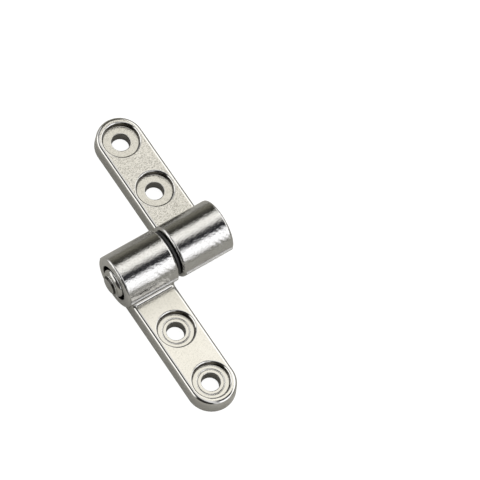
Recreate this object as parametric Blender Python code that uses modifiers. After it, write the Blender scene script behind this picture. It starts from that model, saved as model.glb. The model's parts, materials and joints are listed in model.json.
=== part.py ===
"""Friction hinge: two cast strap leaves whose barrels sit end to end on one shaft.

Metres, +Z up. The mounting plane is z = 0. The pin axis runs along X, one barrel
radius above that plane. The lower leaf's strap runs along -Y and its barrel is the
housing of the friction pack. The upper leaf's strap runs along +Y and its barrel
carries the shaft. The origin is under the pin axis, in the middle of the footprint.
"""

from math import asin, atan2, cos, degrees, pi, radians, sin, sqrt

import bmesh
import bpy
from mathutils import Matrix

# Barrels
BARREL_RADIUS = 0.0069
BARREL_LENGTH = 0.0146
BARREL_GAP = 0.0012
BARREL_EDGE = 0.0005  # rounding of the barrel's end edges

# Straps
STRAP_WIDTH = 0.0120
STRAP_THICKNESS = 0.0045
STRAP_EDGE = 0.0006  # rounding of the top edge
STRAP_DRAFT = 0.00022  # how much wider each side is at the mounting plane
STRAP_ROOT = 0.0008  # where the strap starts inside the barrel, from the pin axis
JUNCTION_RADIUS = 0.0010  # hollow fillet between the strap's top and the barrel

# Screw holes
HOLE_FIRST = 0.0170  # from the pin axis to the nearer hole
HOLE_PITCH = 0.0154
HOLE_RADIUS = 0.0024
HOLE_TAPER = 0.00015  # how much narrower the hole is at the mounting plane
END_MARGIN = 0.0004  # from the outer hole's centre to the centre of the strap's end
COUNTERBORE_WALL = 0.0013  # from the counterbore's mouth to the strap's side
COUNTERBORE_DEPTH = 0.0015
COUNTERBORE_TAPER = 0.0001  # how much narrower the counterbore is at its floor
COUNTERBORE_LIP = 0.00025

# Bores
BORE_RADIUS = 0.0046  # the recess that shows at the housing's outer end
RECESS_DEPTH = 0.0022
BORE_KEY_STEP = 0.0001  # the keyed bore is this much smaller than the recess
BORE_FLAT_STEP = 0.0008  # the keyed bore's flats are this far inside the recess
HOUSING_FLOOR = 0.0018
SOCKET_WALL = 0.0036  # left at the outer end of the upper leaf's barrel

# Shaft
SHAFT_RADIUS = 0.0024
SHAFT_FLAT_STEP = 0.0006  # how deep each flat is cut
TANG_STEP = 0.0006  # how much larger the end held in the upper leaf is
TANG_FLAT_STEP = 0.0007
HEAD_STEP = 0.0004
HEAD_LENGTH = 0.0008
HEAD_EDGE = 0.0003

# Rings and plates on the shaft
THRUST_WASHER_INSET = 0.0009  # from the barrels' rim to the washer's
THRUST_WASHER_THICKNESS = 0.0006
BUSH_WALL = 0.0008
PLATE_PAIRS = 5
PLATE_CLEARANCE = 0.0002  # from the shaft plates' rim to the keyed bore's flats
WEAR_WASHER_THICKNESS = 0.0006
SPRINGS = 3
SPRING_THICKNESS = 0.0004
SPRING_RISE = 0.0004
END_WASHER_INSET = 0.00085  # width of the open ring round the end washer
END_WASHER_THICKNESS = 0.0008
END_WASHER_PROUD = 0.0004  # beyond the housing's outer end
END_WASHER_EDGE = 0.0002

# Clearances
FACE_GAP = 0.00025  # between pieces stacked face to face
FIT_GAP = 0.00012  # round or flat pieces that sit in or on one another
RUN_GAP = 0.00008  # radial clearance where the shaft turns

# Fineness of round shapes
BARREL_STEPS = 64
PIN_STEPS = 32
ARC_STEPS = 20  # in a half circle
FLATTED_STEPS = 10  # in each arc between two flats
FILLET_STEPS = 6
EDGE_STEPS = 3
CUT_PAST = 0.0005  # how far a cutter runs past the face it opens
UNION_STEP = 0.00001  # keeps the flatted stretch's arcs just inside the journal's
MERGE = 0.000001

AXIS_HEIGHT = BARREL_RADIUS
BARREL_START = BARREL_GAP / 2
BARREL_END = BARREL_START + BARREL_LENGTH
BARREL_MIDDLE = BARREL_START + BARREL_LENGTH / 2
OUTER_HOLE = HOLE_FIRST + HOLE_PITCH
STRAP_END = OUTER_HOLE + END_MARGIN
COUNTERBORE_RADIUS = STRAP_WIDTH / 2 - COUNTERBORE_WALL
KEYED_RADIUS = BORE_RADIUS - BORE_KEY_STEP
BORE_FLAT = BORE_RADIUS - BORE_FLAT_STEP
SOCKET_DEPTH = BARREL_LENGTH - SOCKET_WALL
SHAFT_FLAT = SHAFT_RADIUS - SHAFT_FLAT_STEP
TANG_RADIUS = SHAFT_RADIUS + TANG_STEP
TANG_FLAT = TANG_RADIUS - TANG_FLAT_STEP
HEAD_RADIUS = SHAFT_RADIUS + HEAD_STEP
THRUST_WASHER_RADIUS = BARREL_RADIUS - THRUST_WASHER_INSET
SHAFT_PLATE_RADIUS = BORE_FLAT - PLATE_CLEARANCE
END_WASHER_RADIUS = BORE_RADIUS - END_WASHER_INSET
HEAD_REACH = BARREL_END + END_WASHER_PROUD + FACE_GAP + HEAD_LENGTH
MIDDLE_X = (HEAD_REACH - BARREL_END) / 2  # the gap's middle, from the footprint's
BUSH_INNER = SHAFT_RADIUS + RUN_GAP
BUSH_OUTER = BUSH_INNER + BUSH_WALL

# The pack runs from the housing's floor towards -X. Its plates share the length that
# the wear washer, the disc springs and the end washer leave.
PACK_START = -BARREL_START - HOUSING_FLOOR - FACE_GAP
JOURNAL_END = PACK_START - WEAR_WASHER_THICKNESS - FACE_GAP / 2
SPRING_HEIGHT = SPRING_THICKNESS + SPRING_RISE
PACK_LENGTH = PACK_START + BARREL_END + END_WASHER_PROUD - END_WASHER_THICKNESS
PACK_TAKEN = WEAR_WASHER_THICKNESS + SPRINGS * (SPRING_HEIGHT + FACE_GAP)
PLATE_PITCH = (PACK_LENGTH - PACK_TAKEN - FACE_GAP) / (2 * PLATE_PAIRS)
PLATE_THICKNESS = PLATE_PITCH - FACE_GAP


def clear_scene():
    for obj in list(bpy.data.objects):
        bpy.data.objects.remove(obj, do_unlink=True)


def new_collection(name):
    collection = bpy.data.collections.new(name)
    bpy.context.scene.collection.children.link(collection)
    return collection


def metal(name, colour, roughness, metallic=1.0):
    material = bpy.data.materials.new(name)
    material.use_nodes = True
    shader = material.node_tree.nodes["Principled BSDF"]
    shader.inputs["Base Color"].default_value = (*colour, 1.0)
    shader.inputs["Roughness"].default_value = roughness
    shader.inputs["Metallic"].default_value = metallic
    return material


clear_scene()
PARTS = new_collection("friction_hinge")
CUTTERS = new_collection("cutters")
PIN_AXIS = bpy.data.objects.new("pin_axis", None)
PARTS.objects.link(PIN_AXIS)
PIN_AXIS.location = (MIDDLE_X, 0, AXIS_HEIGHT)
PIN_AXIS.rotation_euler = (0, radians(90), 0)  # its own Z runs along the row's +X

NICKEL = metal("nickel_cast", (0.66, 0.64, 0.60), 0.32)
STEEL = metal("steel_ground", (0.52, 0.51, 0.49), 0.30)
SPRING_STEEL = metal("spring_steel", (0.30, 0.30, 0.30), 0.38)
BRONZE = metal("bronze", (0.50, 0.36, 0.20), 0.42)
DARK_POLYMER = metal("dark_polymer", (0.03, 0.03, 0.03), 0.50, metallic=0.0)


def add_part(name, mesh, material=None, on_axis=True):
    """Puts a mesh in the scene as a part, or as a cutter when it has no material."""
    obj = bpy.data.objects.new(name, mesh)
    if material:
        PARTS.objects.link(obj)
        mesh.materials.append(material)
    else:
        CUTTERS.objects.link(obj)
        obj.hide_render = True
        obj.display_type = "WIRE"
    if on_axis:
        obj.parent = PIN_AXIS
    return obj


def modify(obj, kind, **settings):
    modifier = obj.modifiers.new(kind.title(), kind)
    for key, value in settings.items():
        setattr(modifier, key, value)
    return modifier


def combine(obj, operation, other):
    modify(obj, "BOOLEAN", operation=operation, object=other, solver="EXACT")


def smooth(obj, angle=35):
    obj.data.shade_smooth()
    obj.data.set_sharp_from_angle(angle=radians(angle))


def arc(centre, radius, start, end, steps):
    """Points of an arc, both ends included, with angles in degrees."""
    for i in range(steps + 1):
        angle = radians(start + (end - start) * i / steps)
        yield centre[0] + radius * cos(angle), centre[1] + radius * sin(angle)


def turned(name, profile, material=None, steps=PIN_STEPS, closed=False, on_axis=True):
    """A profile of (radius, height) points turned about the pin axis, or about Z."""
    mesh = bpy.data.meshes.new(name)
    shape = bmesh.new()
    corners = [shape.verts.new((radius, 0, height)) for radius, height in profile]
    for first, second in zip(corners, corners[1:]):
        shape.edges.new((first, second))
    if closed:
        shape.edges.new((corners[-1], corners[0]))
    shape.to_mesh(mesh)
    shape.free()
    obj = add_part(name, mesh, material, on_axis)
    modify(
        obj,
        "SCREW",
        axis="Z",
        angle=2 * pi,
        steps=steps,
        render_steps=steps,
        use_merge_vertices=True,
        merge_threshold=MERGE,
        use_smooth_shade=False,
    )
    return obj


def ring(name, inner, outer, low, high, material):
    profile = [(inner, high), (outer, high), (outer, low), (inner, low)]
    return turned(name, profile, material=material, closed=True)


def circle(radius):
    return list(arc((0, 0), radius, 0, 360, PIN_STEPS))[:-1]


def double_d(radius, flat):
    """A circle with two flats, facing +Y and -Y, each this far from the centre."""
    half = degrees(asin(flat / radius))
    points = list(arc((0, 0), radius, -half, half, FLATTED_STEPS))
    return points + list(arc((0, 0), radius, 180 - half, 180 + half, FLATTED_STEPS))


def plate(name, outlines, low, high, material=None):
    """Flat outlines, the later ones holes in the first, made a plate along the axis."""
    curve = bpy.data.curves.new(name, "CURVE")
    curve.dimensions = "2D"
    curve.fill_mode = "BOTH"
    curve.extrude = (high - low) / 2
    for outline in outlines:
        spline = curve.splines.new("POLY")
        spline.points.add(len(outline) - 1)
        spline.use_cyclic_u = True
        for point, (x, y) in zip(spline.points, outline):
            point.co = (x, y, 0, 1)
    guide = bpy.data.objects.new(name + "_outline", curve)
    bpy.context.scene.collection.objects.link(guide)
    graph = bpy.context.evaluated_depsgraph_get()
    mesh = bpy.data.meshes.new_from_object(guide.evaluated_get(graph))
    bpy.data.objects.remove(guide, do_unlink=True)
    mesh.name = name
    shape = bmesh.new()
    shape.from_mesh(mesh)
    bmesh.ops.remove_doubles(shape, verts=shape.verts, dist=MERGE)
    bmesh.ops.recalc_face_normals(shape, faces=shape.faces)
    shape.to_mesh(mesh)
    shape.free()
    obj = add_part(name, mesh, material)
    obj.location = (0, 0, (low + high) / 2)
    return obj


def strap_ring(widening):
    """The strap's outline, wider by this much all round but for its root."""
    half = STRAP_WIDTH / 2 + widening
    tip = arc((0, STRAP_END), half, 0, 180, ARC_STEPS)
    return [(half, STRAP_ROOT), *tip, (-half, STRAP_ROOT)]


def strap(name):
    """A slab that narrows upwards by its draft, with a rounded top edge."""
    shoulder = STRAP_THICKNESS - STRAP_EDGE
    levels = [(STRAP_DRAFT, 0)]
    for i in range(EDGE_STEPS + 1):
        angle = pi / 2 * i / EDGE_STEPS
        levels.append((STRAP_EDGE * (cos(angle) - 1), shoulder + STRAP_EDGE * sin(angle)))
    shape = bmesh.new()
    rings = [
        [shape.verts.new((x, y, height)) for x, y in strap_ring(widening)]
        for widening, height in levels
    ]
    shape.faces.new(rings[0][::-1])
    shape.faces.new(rings[-1])
    for low, high in zip(rings, rings[1:]):
        for i, corner in enumerate(low):
            j = (i + 1) % len(low)
            shape.faces.new((corner, low[j], high[j], high[i]))
    mesh = bpy.data.meshes.new(name)
    shape.to_mesh(mesh)
    shape.free()
    return add_part(name, mesh, on_axis=False)


def junction(name):
    """The fillet between the barrel and the strap's top, as a bar along X."""
    rise = STRAP_THICKNESS + JUNCTION_RADIUS - AXIS_HEIGHT
    run = sqrt((BARREL_RADIUS + JUNCTION_RADIUS) ** 2 - rise**2)
    on_barrel = degrees(atan2(-rise, -run))
    profile = list(arc((run, rise), JUNCTION_RADIUS, on_barrel, 270, FILLET_STEPS))
    below = STRAP_THICKNESS / 2 - AXIS_HEIGHT
    profile += [(profile[-1][0], below), (profile[0][0] - JUNCTION_RADIUS, below)]
    profile += [(profile[0][0] - JUNCTION_RADIUS, profile[0][1])]
    half = STRAP_WIDTH / 2 - STRAP_EDGE
    obj = plate(name, [profile], -half, half)
    obj.parent = None
    return obj


def screw_hole(name):
    """Turned cutter for one counterbored, tapered screw hole."""
    floor = STRAP_THICKNESS - COUNTERBORE_DEPTH
    mouth = COUNTERBORE_RADIUS + COUNTERBORE_LIP
    profile = [
        (0, STRAP_THICKNESS + CUT_PAST),
        (mouth, STRAP_THICKNESS + CUT_PAST),
        (mouth, STRAP_THICKNESS),
        (COUNTERBORE_RADIUS, STRAP_THICKNESS - COUNTERBORE_LIP),
        (COUNTERBORE_RADIUS - COUNTERBORE_TAPER, floor),
        (HOLE_RADIUS, floor),
        (HOLE_RADIUS - HOLE_TAPER, 0),
        (HOLE_RADIUS - HOLE_TAPER, -CUT_PAST),
        (0, -CUT_PAST),
    ]
    return turned(name, profile, on_axis=False)


def leaf(name, side):
    """A leaf on the +X side (side 1), or turned half round under the axis (side -1)."""
    half = BARREL_LENGTH / 2
    edge = [
        (BARREL_RADIUS - BARREL_EDGE + out, half - BARREL_EDGE + up)
        for up, out in quarter_arc(BARREL_EDGE)
    ]
    profile = [(0, half), *edge]
    profile += [(radius, -height) for radius, height in reversed(profile)]
    barrel = turned(name, profile, NICKEL, BARREL_STEPS)
    barrel.location = (0, 0, side * BARREL_MIDDLE)
    turn = Matrix.Rotation(0 if side > 0 else pi, 4, "Z")
    place = Matrix.Translation((MIDDLE_X, 0, 0)) @ turn
    slab = strap(name + "_strap")
    slab.matrix_world = place @ Matrix.Translation((BARREL_MIDDLE, 0, 0))
    web = junction(name + "_junction")
    upright = Matrix(((0, 0, 1, 0), (1, 0, 0, 0), (0, 1, 0, 0), (0, 0, 0, 1)))
    web.matrix_world = place @ Matrix.Translation((BARREL_MIDDLE, 0, AXIS_HEIGHT)) @ upright
    combine(barrel, "UNION", slab)
    combine(barrel, "UNION", web)
    for i, distance in enumerate((HOLE_FIRST, OUTER_HOLE)):
        hole = screw_hole(f"{name}_hole_{i + 1}")
        hole.matrix_world = place @ Matrix.Translation((BARREL_MIDDLE, distance, 0))
        combine(barrel, "DIFFERENCE", hole)
    return barrel


def quarter_arc(radius):
    """A quarter arc from the top of a rounded edge to its side, as (up, out) steps."""
    return arc((0, 0), radius, 0, 90, EDGE_STEPS)


def cylinder_cutter(name, radius, low, high):
    return turned(name, [(0, high), (radius, high), (radius, low), (0, low)])


def housing_leaf():
    """The lower leaf: its barrel is bored from the outer end for the friction pack."""
    obj = leaf("lower_leaf", -1)
    floor = -BARREL_START - HOUSING_FLOOR
    recess = cylinder_cutter(
        "housing_recess", BORE_RADIUS, -BARREL_END - CUT_PAST, -BARREL_END + RECESS_DEPTH
    )
    keyed = plate(
        "housing_keyed_bore",
        [double_d(KEYED_RADIUS, BORE_FLAT)],
        -BARREL_END + RECESS_DEPTH / 2,
        floor,
    )
    bush_hole = cylinder_cutter(
        "housing_bush_hole", BUSH_OUTER + FIT_GAP, floor - CUT_PAST, -BARREL_START + CUT_PAST
    )
    for cutter in (recess, keyed, bush_hole):
        combine(obj, "DIFFERENCE", cutter)
    return obj


def shaft_leaf():
    """The upper leaf: its barrel has a blind keyed socket for the shaft's tang."""
    obj = leaf("upper_leaf", 1)
    socket = plate(
        "shaft_socket",
        [double_d(TANG_RADIUS + FIT_GAP, TANG_FLAT + FIT_GAP)],
        BARREL_START - CUT_PAST,
        BARREL_START + SOCKET_DEPTH,
    )
    combine(obj, "DIFFERENCE", socket)
    return obj


def shaft():
    """Keyed tang, round journal, flatted stretch through the pack, and upset head."""
    tang_end = BARREL_START + SOCKET_DEPTH - FACE_GAP
    head_face = -(HEAD_REACH - HEAD_LENGTH)
    journal_start = BARREL_START - FIT_GAP
    profile = [(0, journal_start), (SHAFT_RADIUS, journal_start)]
    profile += [(SHAFT_RADIUS, JOURNAL_END), (0, JOURNAL_END)]
    obj = turned("shaft", profile, material=STEEL)
    tang = plate(
        "shaft_tang", [double_d(TANG_RADIUS, TANG_FLAT)], journal_start - FIT_GAP, tang_end
    )
    flatted = plate(
        "shaft_flatted",
        [double_d(SHAFT_RADIUS - UNION_STEP, SHAFT_FLAT)],
        head_face - HEAD_LENGTH / 2,
        JOURNAL_END + HEAD_LENGTH / 2,
    )
    edge = [
        (HEAD_RADIUS - HEAD_EDGE + out, -HEAD_REACH + HEAD_EDGE - up)
        for up, out in reversed(list(quarter_arc(HEAD_EDGE)))
    ]
    head = [(0, head_face), (HEAD_RADIUS, head_face), *edge, (0, -HEAD_REACH)]
    for piece in (tang, flatted, turned("shaft_head", head)):
        combine(obj, "UNION", piece)
    return obj


def bush():
    return ring(
        "shaft_bush",
        BUSH_INNER,
        BUSH_OUTER,
        -BARREL_START - HOUSING_FLOOR + FIT_GAP,
        -BARREL_START - FIT_GAP,
        material=BRONZE,
    )


def thrust_washer():
    """Sits between the two barrels, round the shaft's journal."""
    return ring(
        "thrust_washer",
        BUSH_INNER,
        THRUST_WASHER_RADIUS,
        -THRUST_WASHER_THICKNESS / 2,
        THRUST_WASHER_THICKNESS / 2,
        material=DARK_POLYMER,
    )


def disc_spring(name, outer_face, towards_end):
    """A coned ring. Its rim is at the end it leans to, its eye at the other."""
    inner, outer = SHAFT_RADIUS + FIT_GAP, END_WASHER_RADIUS - FIT_GAP
    low = [(outer, 0), (inner, SPRING_RISE)]
    if not towards_end:
        low = [(outer, SPRING_RISE), (inner, 0)]
    (outer, rim), (inner, eye) = low
    profile = [(inner, eye + SPRING_THICKNESS), (outer, rim + SPRING_THICKNESS)]
    profile += [(outer, rim), (inner, eye)]
    obj = turned(name, profile, material=SPRING_STEEL, closed=True)
    obj.location = (0, 0, outer_face)
    return obj


def friction_pack():
    """Wear washer, alternating plates, disc springs and the end washer, in order."""
    hole = double_d(SHAFT_RADIUS + FIT_GAP, SHAFT_FLAT + FIT_GAP)
    rim = double_d(KEYED_RADIUS - FIT_GAP, BORE_FLAT - FIT_GAP)
    face = PACK_START
    ring(
        "wear_washer",
        BUSH_INNER,
        BORE_FLAT - FIT_GAP,
        face - WEAR_WASHER_THICKNESS,
        face,
        material=BRONZE,
    )
    face -= WEAR_WASHER_THICKNESS + FACE_GAP
    for pair in range(PLATE_PAIRS):
        for name, outlines, material in (
            ("shaft_plate", [circle(SHAFT_PLATE_RADIUS), hole], STEEL),
            ("housing_plate", [rim, circle(BUSH_INNER)], BRONZE),
        ):
            plate(f"{name}_{pair + 1}", outlines, face - PLATE_THICKNESS, face, material)
            face -= PLATE_PITCH
    for i in range(SPRINGS):
        face -= SPRING_HEIGHT
        disc_spring(f"disc_spring_{i + 1}", face, towards_end=i % 2 == 0)
        face -= FACE_GAP
    end_washer(face)


def end_washer(inner_face):
    """The chamfered washer under the shaft's head. Its keyed hole turns with the shaft."""
    outer_face = inner_face - END_WASHER_THICKNESS
    obj = turned(
        "end_washer",
        [
            (0, inner_face),
            (END_WASHER_RADIUS, inner_face),
            (END_WASHER_RADIUS, outer_face + END_WASHER_EDGE),
            (END_WASHER_RADIUS - END_WASHER_EDGE, outer_face),
            (0, outer_face),
        ],
        material=STEEL,
    )
    hole = plate(
        "end_washer_hole",
        [double_d(SHAFT_RADIUS + FIT_GAP, SHAFT_FLAT + FIT_GAP)],
        outer_face - CUT_PAST,
        inner_face + CUT_PAST,
    )
    combine(obj, "DIFFERENCE", hole)


housing_leaf()
shaft_leaf()
shaft()
bush()
thrust_washer()
friction_pack()
for part in PARTS.objects:
    if part.type == "MESH":
        smooth(part)
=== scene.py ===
"""Looks of the friction hinge: plated castings, turned steel, and a pale studio."""

import json
import math

import bpy
import numpy as np
from mathutils import Matrix, Vector


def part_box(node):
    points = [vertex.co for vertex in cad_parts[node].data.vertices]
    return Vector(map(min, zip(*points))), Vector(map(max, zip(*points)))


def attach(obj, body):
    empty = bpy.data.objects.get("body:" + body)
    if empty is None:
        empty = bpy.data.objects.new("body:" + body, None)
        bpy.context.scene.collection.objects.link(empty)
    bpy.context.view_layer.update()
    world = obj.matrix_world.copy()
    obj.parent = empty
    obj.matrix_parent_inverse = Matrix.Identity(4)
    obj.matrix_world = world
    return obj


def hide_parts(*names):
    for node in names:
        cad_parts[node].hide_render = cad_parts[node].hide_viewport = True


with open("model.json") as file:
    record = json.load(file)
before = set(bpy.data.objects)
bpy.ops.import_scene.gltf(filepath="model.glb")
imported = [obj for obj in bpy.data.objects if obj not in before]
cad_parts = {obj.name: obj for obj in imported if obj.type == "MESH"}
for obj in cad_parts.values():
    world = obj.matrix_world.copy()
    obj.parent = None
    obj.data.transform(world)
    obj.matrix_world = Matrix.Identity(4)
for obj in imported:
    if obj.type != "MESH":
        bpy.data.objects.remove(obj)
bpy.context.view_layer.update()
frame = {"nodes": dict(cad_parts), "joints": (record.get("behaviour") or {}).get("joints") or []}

MM = 0.001

# ---------------------------------------------------------------- sizes, in mm
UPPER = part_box("upper_leaf")
AXIS = Vector(frame["joints"][0]["pos_m"]) / MM
BARREL_R = AXIS.z
BARREL_L = (UPPER[1].x - UPPER[0].x) / MM
BARREL_X = (UPPER[1].x + UPPER[0].x) / 2 / MM - AXIS.x
BARREL_EDGE = 0.75
PARTING = 0.28  # height of the moulding line along the barrel, on the pin's level
PARTING_HALF = 0.3
PARTING_INSET = 0.5  # from the barrel's ends to the line's ends

STRAP_W = 12.0  # at the top, which the draft makes narrower than the foot
STRAP_T = 4.5
STRAP_EDGE = 0.6  # soft chamfer round the strap's top
STRAP_DRAFT = 0.22
STRAP_ROOT = 0.8  # where the strap starts inside the barrel, beyond the pin axis
TIP_Y = UPPER[1].y / MM - STRAP_W / 2 - STRAP_DRAFT
JUNCTION = 1.0  # hollow fillet between the barrel and the strap

HOLE_PITCH = 15.4
HOLE_INSET = 0.4  # from the centre of the strap's round tip to the outer hole
HOLES_Y = (TIP_Y - HOLE_INSET - HOLE_PITCH, TIP_Y - HOLE_INSET)
HOLE_R = 2.22
HOLE_DRAFT = 0.13
MOUTH_R = 4.62
MOUTH_DRAFT = 0.12
MOUTH_LIP = 0.28
MOUTH_DEPTH = 1.5
FLOOR_Z = STRAP_T - MOUTH_DEPTH
RING_R, RING_DEPTH = 3.3, 0.15

PACK_R, PACK_FLAT = 4.5, 3.8  # the housing's keyed bore
PACK_FLOOR = 1.8  # thickness left at the bore's inner end
END_BORE_R, END_BORE_DEPTH = 4.6, 2.2
BUSH_R = 3.4
SOCKET_R, SOCKET_FLAT, SOCKET_DEPTH = 3.12, 2.42, 11.0

# Places along the pin are from the middle of the washer between the barrels.
SHAFT_R, SHAFT_FLAT = 2.4, 1.8
TANG_R, TANG_FLAT = 3.0, 2.3
TANG = (0.4, 11.3)
JOURNAL = (-7.0, 0.6)
FLATTED = (-16.2, -3.2)
FLANGE_R = 2.8
FLANGE = (-16.2, -15.9)
BOSS_R = 2.55  # where the head's cone meets the flange
HEAD_END = -16.65
WASHER_R = 3.75
WASHER = (-15.95, -14.7)
WASHER_RIM = -15.25  # where the washer's cone meets its rim
KEY_R, KEY_FLAT = 2.52, 1.92
SPACER_R, SPACER_HALF, SPACER_BORE_R = 6.0, 0.3, 2.48

SLOPE = 0.7071  # scales a slope of 45 degrees to a true distance


# ------------------------------------------------- solids as distance functions
def both(a, b, radius=0.05):
    """Intersection of two solids, its edge rounded outwards."""
    corner = np.hypot(np.maximum(radius + a, 0), np.maximum(radius + b, 0))
    return np.minimum(-radius, np.maximum(a, b)) + corner


def either(a, b, radius=0.05):
    """Union of two solids, with a hollow fillet where they meet."""
    return -both(-a, -b, radius)


def less(a, b, radius=0.05):
    """The first solid without the second, its edge rounded."""
    return both(a, -b, radius)


def between(x, low, high, radius=0.05):
    """The slab between two planes."""
    return both(low - x, x - high, radius)


def ease(value, low, high):
    """0 below the lower bound, 1 above the higher, smooth between."""
    t = np.clip((value - low) / (high - low), 0, 1)
    return t * t * (3 - 2 * t)


def waves(x, y, z, seed, count, short, long, slope):
    """A sum of gentle sine waves of these lengths, this steep in all, as cast skins have."""
    draw = np.random.default_rng(seed)
    total = 0.0
    for _ in range(count):
        way = draw.normal(size=3)
        length = draw.uniform(short, long)
        way *= 2 * math.pi / length / np.linalg.norm(way)
        phase = draw.uniform(0, 2 * math.pi)
        height = slope * length / (2 * math.pi) * math.sqrt(2 / count)
        total = total + height * np.sin(way[0] * x + way[1] * y + way[2] * z + phase)
    return total


def screw_hole(solid, radius, z, ringed):
    """A drafted counterbore with a soft lip, perhaps a ring on its floor, and the hole."""
    wall = radius - MOUTH_R + MOUTH_DRAFT * (STRAP_T - z) / MOUTH_DEPTH
    lip = (radius - MOUTH_R + STRAP_T - MOUTH_LIP - z) * SLOPE
    solid = less(solid, both(np.minimum(wall, lip), FLOOR_Z - z, 0.16), 0.1)
    if ringed:
        solid = less(solid, np.hypot(radius - RING_R, z - FLOOR_Z) - RING_DEPTH, 0.08)
    return less(solid, radius - HOLE_R - HOLE_DRAFT * z / FLOOR_Z, 0.16)


def streaks(x, turn, seed, count=7, slope=0.05):
    """Slanting ripples on one stretch of a barrel."""
    draw = np.random.default_rng(seed)
    total = 0.0
    for _ in range(count):
        slant = math.radians(draw.normal(32, 9))
        length = draw.uniform(0.9, 1.7)
        phase = draw.uniform(0, 2 * math.pi)
        height = slope * length / (2 * math.pi)
        along = x * math.cos(slant) + turn * math.sin(slant)
        total = total + height * np.sin(2 * math.pi * along / length + phase)
    return total


def cast_barrel(x, from_axis, turn, z, housing):
    """The barrel with its cast skin and its moulding line."""
    end = BARREL_L / 2
    forward = 1 if housing else -1  # the side that faces -Y at rest
    rippled = ease(-x * forward, -3.0, 4.0) * ease(turn * forward, 2.5, 5.0)
    ripple = waves(x, turn, 0, seed=5 + housing, count=8, short=0.9, long=1.8, slope=0.010)
    ripple = ripple + rippled * streaks(x, turn, 11 + housing)
    barrel = both(from_axis - BARREL_R + ripple, np.abs(x) - end, BARREL_EDGE)
    line = both(np.abs(z - BARREL_R) - PARTING_HALF, from_axis - BARREL_R - PARTING, 0.06)
    line = both(line, np.abs(x) - end + PARTING_INSET, 0.2)
    return either(barrel, line, 0.1)


def cast_strap(x, y, z, housing):
    """The drafted strap with its round tip and chamfered, slightly wavy top."""
    half = STRAP_W / 2 + STRAP_DRAFT * (1 - z / STRAP_T)
    side = np.hypot(x, np.maximum(y - TIP_Y, 0)) - half
    wavy = waves(x, y, 0, seed=21 + housing, count=10, short=3.0, long=8.0, slope=0.02)
    top = z - STRAP_T + wavy
    chamfer = (side + top + STRAP_EDGE) * SLOPE
    slab = both(both(both(side, top, 0.2), chamfer, 0.28), -z, 0.15)
    return np.maximum(slab, STRAP_ROOT - y)


def casting(x, y, z, housing):
    """A leaf about its barrel's middle: X along the barrel, outwards, Y along the strap."""
    end = BARREL_L / 2
    from_axis = np.hypot(y, z - BARREL_R)
    turn = np.arctan2(y, z - BARREL_R) * BARREL_R
    barrel = cast_barrel(x, from_axis, turn, z, housing)
    solid = either(barrel, cast_strap(x, y, z, housing), JUNCTION)
    solid = np.maximum(solid, -z)
    for middle in HOLES_Y:
        solid = screw_hole(solid, np.hypot(x, y - middle), z, housing)
    if housing:
        pack = both(from_axis - PACK_R, np.abs(y) - PACK_FLAT)
        solid = less(solid, both(pack, PACK_FLOOR - end - x), 0.08)
        solid = less(solid, both(from_axis - END_BORE_R, end - END_BORE_DEPTH - x), 0.18)
        return less(solid, both(from_axis - BUSH_R, x), 0.1)
    socket = both(from_axis - SOCKET_R, np.abs(y) - SOCKET_FLAT)
    return less(solid, both(socket, x + end - SOCKET_DEPTH), 0.1)


def turned_shaft(x, y, z):
    """Keyed tang, journal, flatted stretch and upset head, about the pin axis."""
    from_axis = np.hypot(y, z)
    journal = both(from_axis - SHAFT_R, between(x, *JOURNAL, 0.02))
    flatted = both(from_axis - SHAFT_R, np.abs(y) - SHAFT_FLAT)
    flatted = both(flatted, between(x, *FLATTED))
    tang = both(from_axis - TANG_R, np.abs(y) - TANG_FLAT)
    tang = both(tang, between(x, *TANG))
    flange = both(from_axis - FLANGE_R, between(x, *FLANGE), 0.15)
    cone = (from_axis - BOSS_R - x + FLANGE[0]) * SLOPE
    boss = both(cone, between(x, HEAD_END, FLANGE[1]), 0.08)
    head = np.minimum(flange, boss)
    return np.minimum(np.minimum(journal, flatted), np.minimum(tang, head))


def washer_ring(x, y, z):
    """The thin washer between the barrels."""
    from_axis = np.hypot(y, z)
    plate = both(from_axis - SPACER_R, np.abs(x) - SPACER_HALF, 0.1)
    return less(plate, from_axis - SPACER_BORE_R)


def end_plate(x, y, z):
    """The coned washer under the shaft's head."""
    from_axis = np.hypot(y, z)
    cone = (from_axis - WASHER_R + WASHER_RIM - x) * SLOPE
    plate = both(both(from_axis - WASHER_R, cone, 0.3), between(x, *WASHER), 0.3)
    return less(plate, both(from_axis - KEY_R, np.abs(y) - KEY_FLAT))


# --------------------------------------------------------- skins of the solids
def gradient(field, points, reach=0.004):
    """The slope of the distance at each point, which points out of the solid."""
    slope = np.empty_like(points)
    for axis in range(3):
        offset = np.zeros(3)
        offset[axis] = reach
        ahead, behind = points + offset, points - offset
        slope[:, axis] = (field(*ahead.T) - field(*behind.T)) / (2 * reach)
    return slope


def settle(field, points, rounds=3):
    """Moves points onto the solid's surface."""
    flattest = 0.2
    for _ in range(rounds):
        slope = gradient(field, points)
        squared = np.maximum((slope**2).sum(1), flattest)
        points = points - slope * (field(*points.T) / squared)[:, None]
    return points


def relax(points, quads, field, rounds):
    """Evens the mesh out along the surface."""
    ends = np.concatenate([quads[:, [0, 1]], quads[:, [1, 2]], quads[:, [2, 3]], quads[:, [3, 0]]])
    ends = np.concatenate([ends, ends[:, ::-1]])
    count = np.bincount(ends[:, 0], minlength=len(points))[:, None]
    for _ in range(rounds):
        total = np.stack(
            [np.bincount(ends[:, 0], points[ends[:, 1], i], len(points)) for i in range(3)], 1
        )
        points = settle(field, points + 0.5 * (total / count - points), 1)
    return points


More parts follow.
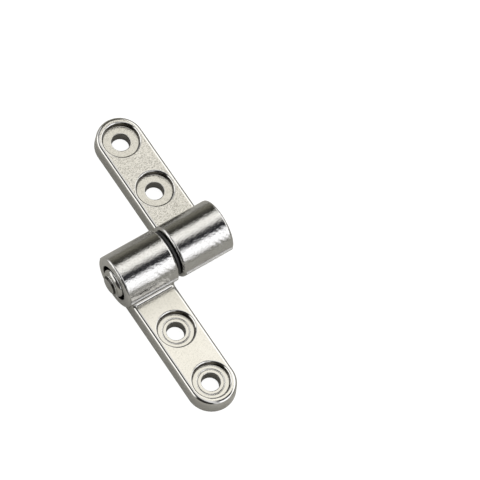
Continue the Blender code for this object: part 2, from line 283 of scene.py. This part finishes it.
def net(field, low, high, step):
    """A quad mesh round the solid: one point in each grid cell that its surface crosses."""
    axes = [np.arange(a - 1.5 * step, b + 2.5 * step, step) for a, b in zip(low, high)]
    grid = np.meshgrid(*axes, indexing="ij", sparse=True)
    value = field(*grid)
    inside = value < 0
    cells = tuple(n - 1 for n in value.shape)
    corners = [(i, j, k) for i in (0, 1) for j in (0, 1) for k in (0, 1)]
    filled = sum(
        inside[i : i + cells[0], j : j + cells[1], k : k + cells[2]].astype(np.int8)
        for i, j, k in corners
    )
    mixed = np.argwhere((filled > 0) & (filled < 8))
    index = np.full(cells, -1, np.int64)
    index[tuple(mixed.T)] = np.arange(len(mixed))
    start = np.array([axis[0] for axis in axes])
    points = start + (mixed + 0.5) * step
    quads = []
    for axis in range(3):
        ahead = [slice(None)] * 3
        behind = [slice(None)] * 3
        ahead[axis], behind[axis] = slice(1, None), slice(None, -1)
        first, second = inside[tuple(behind)], inside[tuple(ahead)]
        at = np.argwhere(first != second)
        flipped = ~first[tuple(at.T)]
        u, v = np.eye(3, dtype=int)[[(axis + 1) % 3, (axis + 2) % 3]]
        around = [index[tuple((at - turn).T)] for turn in (u + v, v, 0 * u, u)]
        quad = np.stack(around, 1)
        quad[flipped] = quad[flipped][:, ::-1]
        quads.append(quad)
    return points, np.concatenate(quads)


def skin(name, field, low, high, step, place, material, body, replaced, slot, relaxed=3):
    """Meshes one solid, places it and rides it on its body in place of a CAD node."""
    points, quads = net(field, low, high, step)
    points = settle(field, points)
    points = relax(points, quads, field, relaxed)
    points = settle(field, points, 2)
    normals = gradient(field, points)
    normals /= np.maximum(np.linalg.norm(normals, axis=1, keepdims=True), 1e-9)
    mesh = bpy.data.meshes.new(name)
    mesh.vertices.add(len(points))
    placed = (points @ np.array(place.to_3x3()).T + np.array(place.translation)) * MM
    mesh.vertices.foreach_set("co", placed.astype(np.float32).ravel())
    mesh.loops.add(quads.size)
    mesh.loops.foreach_set("vertex_index", quads.astype(np.int32).ravel())
    mesh.polygons.add(len(quads))
    mesh.polygons.foreach_set("loop_start", np.arange(0, quads.size, 4, dtype=np.int32))
    mesh.update(calc_edges=True)
    mesh.shade_smooth()
    turned = normals @ np.array(place.to_3x3()).T
    mesh.normals_split_custom_set_from_vertices(turned.tolist())
    mesh.materials.append(material)
    obj = bpy.data.objects.new(name, mesh)
    bpy.context.scene.collection.objects.link(obj)
    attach(obj, body)
    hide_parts(replaced)
    print(name, len(points), "points", len(quads), "quads")
    return obj, points, normals


def paint(obj, name, values):
    """Writes a number for each point, for a material to read."""
    layer = obj.data.attributes.new(name, "FLOAT", "POINT")
    layer.data.foreach_set("value", values.astype(np.float32))


# ------------------------------------------------------------------- materials
def node(tree, kind, inputs=(), **settings):
    """A new node, its inputs linked to sockets or set to constants."""
    made = tree.nodes.new(kind)
    for key, value in settings.items():
        setattr(made, key, value)
    for key, value in dict(inputs).items():
        if isinstance(value, bpy.types.NodeSocket):
            tree.links.new(value, made.inputs[key])
        else:
            made.inputs[key].default_value = value
    return made


def ramp(tree, factor, stops):
    """A colour picked from stops by a 0 to 1 factor."""
    made = node(tree, "ShaderNodeValToRGB", {"Fac": factor})
    elements = made.color_ramp.elements
    for place, colour in stops[1:-1]:
        elements.new(place)
    for element, (place, colour) in zip(elements, stops):
        element.position = place
        element.color = (*colour, 1)
    return made.outputs["Color"]


def spread(tree, factor, low, high):
    """A 0 to 1 value stretched between two numbers."""
    made = node(tree, "ShaderNodeMapRange", {"Value": factor, "To Min": low, "To Max": high})
    return made.outputs["Result"]


def noise(tree, place, size_mm, detail=3.0, roughness=0.5):
    """Cloudy noise with features of about this size."""
    made = node(
        tree,
        "ShaderNodeTexNoise",
        {"Vector": place, "Scale": 1 / (size_mm * MM), "Detail": detail, "Roughness": roughness},
    )
    return made.outputs["Fac"]


def blend(tree, factor, low, high, kind="FLOAT"):
    """A mix of two numbers or two colours."""
    made = node(tree, "ShaderNodeMix", data_type=kind)
    pick = {"FLOAT": (0, 2, 3, 0), "RGBA": (0, 6, 7, 2)}[kind]
    for index, value in zip(pick[:3], (factor, low, high)):
        if isinstance(value, bpy.types.NodeSocket):
            tree.links.new(value, made.inputs[index])
        else:
            made.inputs[index].default_value = value
    return made.outputs[pick[3]]


def times(tree, a, b, operation="MULTIPLY"):
    """The product of two numbers, or another sum on them."""
    return node(tree, "ShaderNodeMath", {0: a, 1: b}, operation=operation).outputs[0]


def bump(tree, height, depth_mm, strength=1.0, before=None):
    """A surface roughened by a height, on top of an earlier roughening if there is one."""
    made = node(
        tree, "ShaderNodeBump", {"Height": height, "Distance": depth_mm * MM, "Strength": strength}
    )
    if before:
        tree.links.new(before, made.inputs["Normal"])
    return made.outputs["Normal"]


def painted(tree, name):
    """The number that paint() wrote on the piece, or 0 where there is none."""
    return node(tree, "ShaderNodeAttribute", attribute_name=name).outputs["Fac"]


def shaded(name):
    """A new material, its tree, its shader and the piece's own coordinates."""
    material = bpy.data.materials.new(name)
    material.use_nodes = True
    tree = material.node_tree
    place = node(tree, "ShaderNodeTexCoord").outputs["Object"]
    return material, tree, tree.nodes["Principled BSDF"], place


def nickel():
    """Bright nickel plate: grainy over the cast straps, smoother and wavy on the barrels."""
    material, tree, shader, place = shaded("nickel_cast")
    polish = painted(tree, "polish")
    coarse = painted(tree, "grain")
    cloud = noise(tree, place, 7)
    # The tone paint sets each strap between a darker and a lighter plate: darker towards the
    # barrel, and darker on the counterbore floors as painted shade.
    darker_plate = ramp(tree, cloud, [(0.3, (0.54, 0.525, 0.475)), (0.7, (0.575, 0.56, 0.515))])
    lighter_plate = ramp(tree, cloud, [(0.3, (0.69, 0.67, 0.615)), (0.7, (0.72, 0.70, 0.655))])
    strap = blend(tree, painted(tree, "tone"), darker_plate, lighter_plate, "RGBA")
    barrel = ramp(tree, cloud, [(0.3, (0.63, 0.625, 0.615)), (0.7, (0.67, 0.668, 0.665))])
    plated = blend(tree, polish, strap, barrel, "RGBA")
    dots = ramp(tree, noise(tree, place, 0.36, 2, 0.6), [(0.48, (0, 0, 0)), (0.78, (1, 1, 1))])
    dots = times(tree, times(tree, dots, coarse), 3.0)
    plated = blend(tree, dots, plated, (0.28, 0.27, 0.24, 1), "RGBA")
    # Painted shade: the plate turns near black in the holes, on the counterbore walls and in the
    # housing's end bore, where the paint marks them.
    painted_shade = ramp(tree, cloud, [(0.3, (0.07, 0.062, 0.045)), (0.7, (0.11, 0.10, 0.08))])
    plated = blend(tree, painted(tree, "recess_shade"), plated, painted_shade, "RGBA")
    tree.links.new(plated, shader.inputs["Base Color"])
    patch = noise(tree, place, 1.2, 4, 0.6)
    strap = spread(tree, patch, 0.10, 0.26)
    barrel = spread(tree, patch, 0.03, 0.12)
    tree.links.new(blend(tree, polish, strap, barrel), shader.inputs["Roughness"])
    shader.inputs["Metallic"].default_value = 1.0
    pitted = bump(tree, noise(tree, place, 0.55, 2, 0.6), 0.30, coarse)
    grainy = bump(tree, noise(tree, place, 0.26, 2, 0.6), 0.25, coarse, pitted)
    tree.links.new(grainy, shader.inputs["Normal"])
    return material


def metal(name, dark, light, rough, grain_mm, grain_depth_mm):
    """Bare metal: cloudy tone, uneven polish and fine grain."""
    material, tree, shader, place = shaded(name)
    tone = ramp(tree, noise(tree, place, 5), [(0.3, dark), (0.7, light)])
    # Painted shade: near black where the paint marks the piece, which is the cone of the shaft's
    # head.
    tone = blend(tree, painted(tree, "recess_shade"), tone, (0.05, 0.048, 0.045, 1), "RGBA")
    tree.links.new(tone, shader.inputs["Base Color"])
    polish = spread(tree, noise(tree, place, 0.9, 4, 0.6), *rough)
    tree.links.new(polish, shader.inputs["Roughness"])
    shader.inputs["Metallic"].default_value = 1.0
    grainy = bump(tree, noise(tree, place, grain_mm), grain_depth_mm)
    tree.links.new(grainy, shader.inputs["Normal"])
    return material


NICKEL = nickel()
STEEL = metal("steel", (0.54, 0.535, 0.52), (0.62, 0.615, 0.60), (0.06, 0.20), 0.3, 0.003)
SPRING = metal("spring_steel", (0.24, 0.24, 0.25), (0.33, 0.33, 0.33), (0.28, 0.45), 0.25, 0.004)
BRONZE = metal("bronze", (0.42, 0.29, 0.15), (0.55, 0.40, 0.23), (0.30, 0.48), 0.3, 0.006)


def polymer():
    """Dark, slightly uneven moulded plastic."""
    material, tree, shader, place = shaded("dark_polymer")
    broad = noise(tree, place, 10 / 3)
    tone = ramp(tree, broad, [(0.3, (0.020,) * 3), (0.7, (0.034,) * 3)])
    tree.links.new(tone, shader.inputs["Base Color"])
    tree.links.new(spread(tree, broad, 0.42, 0.58), shader.inputs["Roughness"])
    grainy = bump(tree, noise(tree, place, 0.25, 2), 0.003)
    tree.links.new(grainy, shader.inputs["Normal"])
    return material


POLYMER = polymer()

# ---------------------------------------------------------------------- pieces
UPPER_PLACE = Matrix.Translation((AXIS.x + BARREL_X, 0, 0))
LOWER_PLACE = Matrix.Translation((AXIS.x - BARREL_X, 0, 0)) @ Matrix.Rotation(math.pi, 4, "Z")
PIN_PLACE = Matrix.Translation(AXIS)
LEAF_LOW = (-BARREL_L / 2, -BARREL_R - PARTING, 0)
LEAF_HIGH = (BARREL_L / 2, TIP_Y + STRAP_W / 2 + STRAP_DRAFT, 2 * BARREL_R)
LEAF_STEP = 0.18
SHAFT_LOW, WASHER_LOW = -16.7, -16.0  # where the meshing starts, just outside each piece


def paint_leaf(leaf, points, normals, housing):
    """Marks the polished and grainy parts of a leaf, paints shade into its holes, counterbore
    walls and end bore, and sets how light its plate is, with painted shade on the counterbore
    floors.
    """
    x, y, z = points.T
    from_axis = np.hypot(y, z - BARREL_R)
    radius = np.min([np.hypot(x, y - middle) for middle in HOLES_Y], axis=0)
    on_barrel = 1 - ease(from_axis, BARREL_R + 0.1, BARREL_R + 0.7)
    on_top = ease(z, STRAP_T - 1.7, STRAP_T - 1.5) * (1 - on_barrel)
    flat = ease(normals[:, 2], 0.975, 0.995) * on_top
    raised = ease(z, FLOOR_Z + 0.1, FLOOR_Z + 0.3)
    far = ease(y, 8.0, 16.0)  # along the strap, away from the barrel
    in_hole = 1 - ease(radius, HOLE_R + HOLE_DRAFT, HOLE_R + HOLE_DRAFT + 0.15)
    in_hole *= 1 - ease(z, FLOOR_Z - 0.3, FLOOR_Z - 0.05)
    on_wall = ease(radius, MOUTH_R - 0.32, MOUTH_R - 0.2)
    on_wall *= 1 - ease(radius, MOUTH_R + 0.13, MOUTH_R + 0.23)
    on_wall *= ease(z, FLOOR_Z - 0.15, FLOOR_Z - 0.05)
    on_wall *= 1 - ease(z, STRAP_T - 0.32, STRAP_T - 0.22)
    bored = (1 - ease(from_axis, END_BORE_R, END_BORE_R + 0.08)) * housing
    top_grain = 0.06 if housing else 0.28
    grain = 0.02 + top_grain * flat * (0.6 + 0.4 * raised) + 0.13 * on_barrel
    # Darker plate towards the barrel, and painted shade on the counterbore floors.
    tone = far * (0.6 + 0.3 * raised) if housing else (0.38 + 0.12 * far) * raised
    paint(leaf, "polish", np.max([on_barrel, on_wall, 0.7 * (1 - flat)], axis=0))
    paint(leaf, "grain", grain * (1 - on_wall))
    # Painted shade, near black, on the hole walls, the counterbore walls and the housing's end
    # bore.
    paint(leaf, "recess_shade", np.max([0.45 * in_hole, on_wall, 0.85 * bored], axis=0))
    paint(leaf, "tone", tone)


def paint_head(shaft, points):
    """Paints shade, near black, on the cone between the shaft's flange and its flat end."""
    from_axis = np.hypot(points[:, 1], points[:, 2])
    sloped = ease(from_axis, 2.0, 2.12) * (1 - ease(from_axis, BOSS_R - 0.03, BOSS_R + 0.05))
    proud = 1 - ease(points[:, 0], FLANGE[0] - 0.04, FLANGE[0] + 0.02)
    paint(shaft, "recess_shade", sloped * proud)


for name, body, housing, place in (
    ("lower_leaf_casting", "lower_leaf", True, LOWER_PLACE),
    ("upper_leaf_casting", "upper_leaf", False, UPPER_PLACE),
):
    leaf, points, normals = skin(
        name,
        lambda x, y, z, housing=housing: casting(x, y, z, housing),
        LEAF_LOW,
        LEAF_HIGH,
        LEAF_STEP,
        place,
        NICKEL,
        body,
        body,
        "nickel_cast",
    )
    paint_leaf(leaf, points, normals, housing)

for name, field, low, high, radius, step, material, replaced, slot in (
    ("turned_shaft", turned_shaft, SHAFT_LOW, TANG[1], TANG_R, 0.11, STEEL, "shaft", "steel"),
    (
        "between_washer",
        washer_ring,
        -SPACER_HALF,
        SPACER_HALF,
        SPACER_R,
        0.1,
        POLYMER,
        "thrust_washer",
        "dark_polymer",
    ),
    (
        "keyed_end_washer",
        end_plate,
        WASHER_LOW,
        WASHER[1],
        WASHER_R,
        0.1,
        STEEL,
        "end_washer",
        "steel",
    ),
):
    corners = ((low, -radius, -radius), (high, radius, radius))
    piece, points, normals = skin(
        name, field, *corners, step, PIN_PLACE, material, "upper_leaf", replaced, slot
    )
    if name == "turned_shaft":
        paint_head(piece, points)

for name, obj in frame["nodes"].items():
    if name.startswith(("housing_plate", "shaft_bush", "wear_washer")):
        obj.material_slots[0].material = BRONZE
    elif name.startswith("disc_spring"):
        obj.material_slots[0].material = SPRING
    else:
        obj.material_slots[0].material = STEEL

# ---------------------------------------------------------------------- studio
DIM = (0.045, 0.044, 0.042)
BACK_PANEL = (1.36, 1.34, 1.28)
FRONT_PANEL = (1.66, 1.66, 1.69)
SIDE_PANEL = (1.75, 1.74, 1.70)
BRIGHTEST = 2.0

# Angles round the pin, in degrees from straight up towards the front (-Y).
BANDS = (
    (-180, (0.30, 0.29, 0.25)),
    (-92, (0.36, 0.35, 0.29)),
    (-76, (0.19, 0.18, 0.15)),
    (-58, (0.06, 0.058, 0.048)),
    (-42, (0.05, 0.05, 0.042)),
    (-32, BACK_PANEL),
    (-5, BACK_PANEL),
    (6, (0.42, 0.41, 0.40)),
    (12, (0.03, 0.03, 0.034)),
    (35, (0.035, 0.035, 0.04)),
    (43, FRONT_PANEL),
    (72, FRONT_PANEL),
    (82, (1.0, 0.99, 0.97)),
    (92, (0.70, 0.69, 0.66)),
    (108, (0.42, 0.41, 0.40)),
    (180, (0.30, 0.30, 0.28)),
)

SWEEP_HALF, SWEEP_DROP = 3000.0, 0.02  # the floor's half width, and how far below the hinge
PAPER_NEAR, PAPER_FAR = 50.0, 200.0  # the mirrored paper darkens between these distances

# The softer light off to one side, by height from straight down to straight up.
SOFT = ((0.0, 0.2), (0.48, 0.3), (0.56, 0.95), (0.68, 1.0), (0.76, 0.3), (0.84, 0.35), (0.9, 1.1))


def step_between(tree, value, low, high):
    """0 below the lower bound, 1 above the higher, smooth between; turned round if swapped."""
    flipped = low > high
    made = node(
        tree,
        "ShaderNodeMapRange",
        {
            "Value": value,
            "From Min": min(low, high),
            "From Max": max(low, high),
            "To Min": float(flipped),
            "To Max": float(not flipped),
        },
        interpolation_type="SMOOTHSTEP",
    )
    return made.outputs["Result"]


def studio_light(world):
    """Long soft panels parallel to the pin, a panel at each side, and softer light at -X."""
    world.use_nodes = True
    tree = world.node_tree
    tree.nodes.clear()
    way = node(tree, "ShaderNodeTexCoord").outputs["Generated"]
    x, y, z = node(tree, "ShaderNodeSeparateXYZ", {0: way}).outputs
    angle = times(tree, times(tree, y, -1.0), z, "ARCTAN2")
    turn = node(
        tree,
        "ShaderNodeMapRange",
        {"Value": angle, "From Min": -math.pi, "From Max": math.pi},
    ).outputs["Result"]
    stops = [((a + 180) / 360, tuple(v / BRIGHTEST for v in c)) for a, c in BANDS]
    glow = ramp(tree, turn, stops)
    height = spread(tree, z, 0.5, 1.0)
    soft = ramp(tree, height, [(a, (v / BRIGHTEST,) * 3) for a, v in SOFT])
    glow = blend(tree, step_between(tree, x, 0.08, -0.06), glow, soft, "RGBA")
    shade = [v / BRIGHTEST for v in DIM] + [1]
    panel = [v / BRIGHTEST for v in SIDE_PANEL] + [1]
    lit = times(tree, step_between(tree, z, 0.62, 0.50), step_between(tree, y, -0.15, 0.10))
    left = blend(tree, lit, shade, panel, "RGBA")
    lit = times(tree, step_between(tree, z, 0.20, 0.32), step_between(tree, z, 0.92, 0.80))
    right = blend(tree, lit, shade, panel, "RGBA")
    glow = blend(tree, step_between(tree, x, -0.32, -0.45), glow, left, "RGBA")
    glow = blend(tree, step_between(tree, x, 0.52, 0.68), glow, right, "RGBA")
    light = node(tree, "ShaderNodeBackground", {"Color": glow, "Strength": BRIGHTEST})
    pale = node(tree, "ShaderNodeBackground", {"Color": (1, 1, 1, 1), "Strength": 1.0})
    seen = node(tree, "ShaderNodeLightPath").outputs["Is Camera Ray"]
    mixed = node(tree, "ShaderNodeMixShader", {0: seen, 1: light.outputs[0], 2: pale.outputs[0]})
    out = node(tree, "ShaderNodeOutputWorld")
    tree.links.new(mixed.outputs[0], out.inputs["Surface"])


world = bpy.data.worlds.new("studio")
bpy.context.scene.world = world
studio_light(world)


def studio_floor():
    """A pale sweep, near white to the camera, that the hinge mirrors as darker paper."""
    mesh = bpy.data.meshes.new("studio_floor")
    half = SWEEP_HALF * MM
    corners = ((-half, -half), (half, -half), (half, half), (-half, half))
    mesh.from_pydata([(x, y, -SWEEP_DROP * MM) for x, y in corners], [], [(0, 1, 2, 3)])
    obj = bpy.data.objects.new("studio_floor", mesh)
    bpy.context.scene.collection.objects.link(obj)
    material = bpy.data.materials.new("pale_sweep")
    material.use_nodes = True
    tree = material.node_tree
    tree.nodes.clear()
    lit = node(tree, "ShaderNodeBsdfDiffuse", {"Color": (0.25, 0.25, 0.25, 1)})
    bright = node(tree, "ShaderNodeEmission", {"Color": (1, 1, 1, 1), "Strength": 0.93})
    shown = node(tree, "ShaderNodeAddShader", {0: lit.outputs[0], 1: bright.outputs[0]})
    away = node(tree, "ShaderNodeTexCoord").outputs["Object"]
    away = node(tree, "ShaderNodeVectorMath", {0: away}, operation="LENGTH").outputs["Value"]
    paper = blend(
        tree,
        step_between(tree, away, PAPER_NEAR * MM, PAPER_FAR * MM),
        (0.56, 0.55, 0.51, 1),
        (0.12, 0.12, 0.11, 1),
        "RGBA",
    )
    dim = node(tree, "ShaderNodeBsdfDiffuse", {"Color": paper})
    seen = node(tree, "ShaderNodeLightPath").outputs["Is Camera Ray"]
    mixed = node(tree, "ShaderNodeMixShader", {0: seen, 1: dim.outputs[0], 2: shown.outputs[0]})
    out = node(tree, "ShaderNodeOutputMaterial")
    tree.links.new(mixed.outputs[0], out.inputs["Surface"])
    mesh.materials.append(material)


studio_floor()

# ---------------------------------------------------------------------- camera
AZIMUTH, ELEVATION, ROLL = (math.radians(v) for v in (-45.703, 64.85, 13.536))
DISTANCE = 0.833  # in metres
SENSOR = 36.0
LENS = 256.35
AIM_RIGHT, AIM_UP = 18.47, 6.17  # from the floor under the joint, across and up the view


def add_camera():
    """The camera at the hinge's viewing angle, rolled about its line of sight."""
    right = Vector((math.cos(AZIMUTH), math.sin(AZIMUTH), 0))
    back = Vector(
        (
            math.sin(AZIMUTH) * math.cos(ELEVATION),
            -math.cos(AZIMUTH) * math.cos(ELEVATION),
            math.sin(ELEVATION),
        )
    )
    up = back.cross(right)
    across = math.cos(ROLL) * right + math.sin(ROLL) * up
    upwards = math.cos(ROLL) * up - math.sin(ROLL) * right
    aim = Vector((AXIS.x, 0, 0)) + across * AIM_RIGHT + upwards * AIM_UP
    place = aim * MM + back * DISTANCE
    camera = bpy.data.cameras.new("camera")
    camera.lens = LENS
    camera.sensor_width = SENSOR
    camera.clip_start = 0.01
    obj = bpy.data.objects.new("camera", camera)
    bpy.context.scene.collection.objects.link(obj)
    turned = Matrix((across, upwards, back)).transposed().to_4x4()
    obj.matrix_world = Matrix.Translation(place) @ turned
    bpy.context.scene.camera = obj


add_camera()
bpy.context.scene.view_settings.view_transform = "Standard"
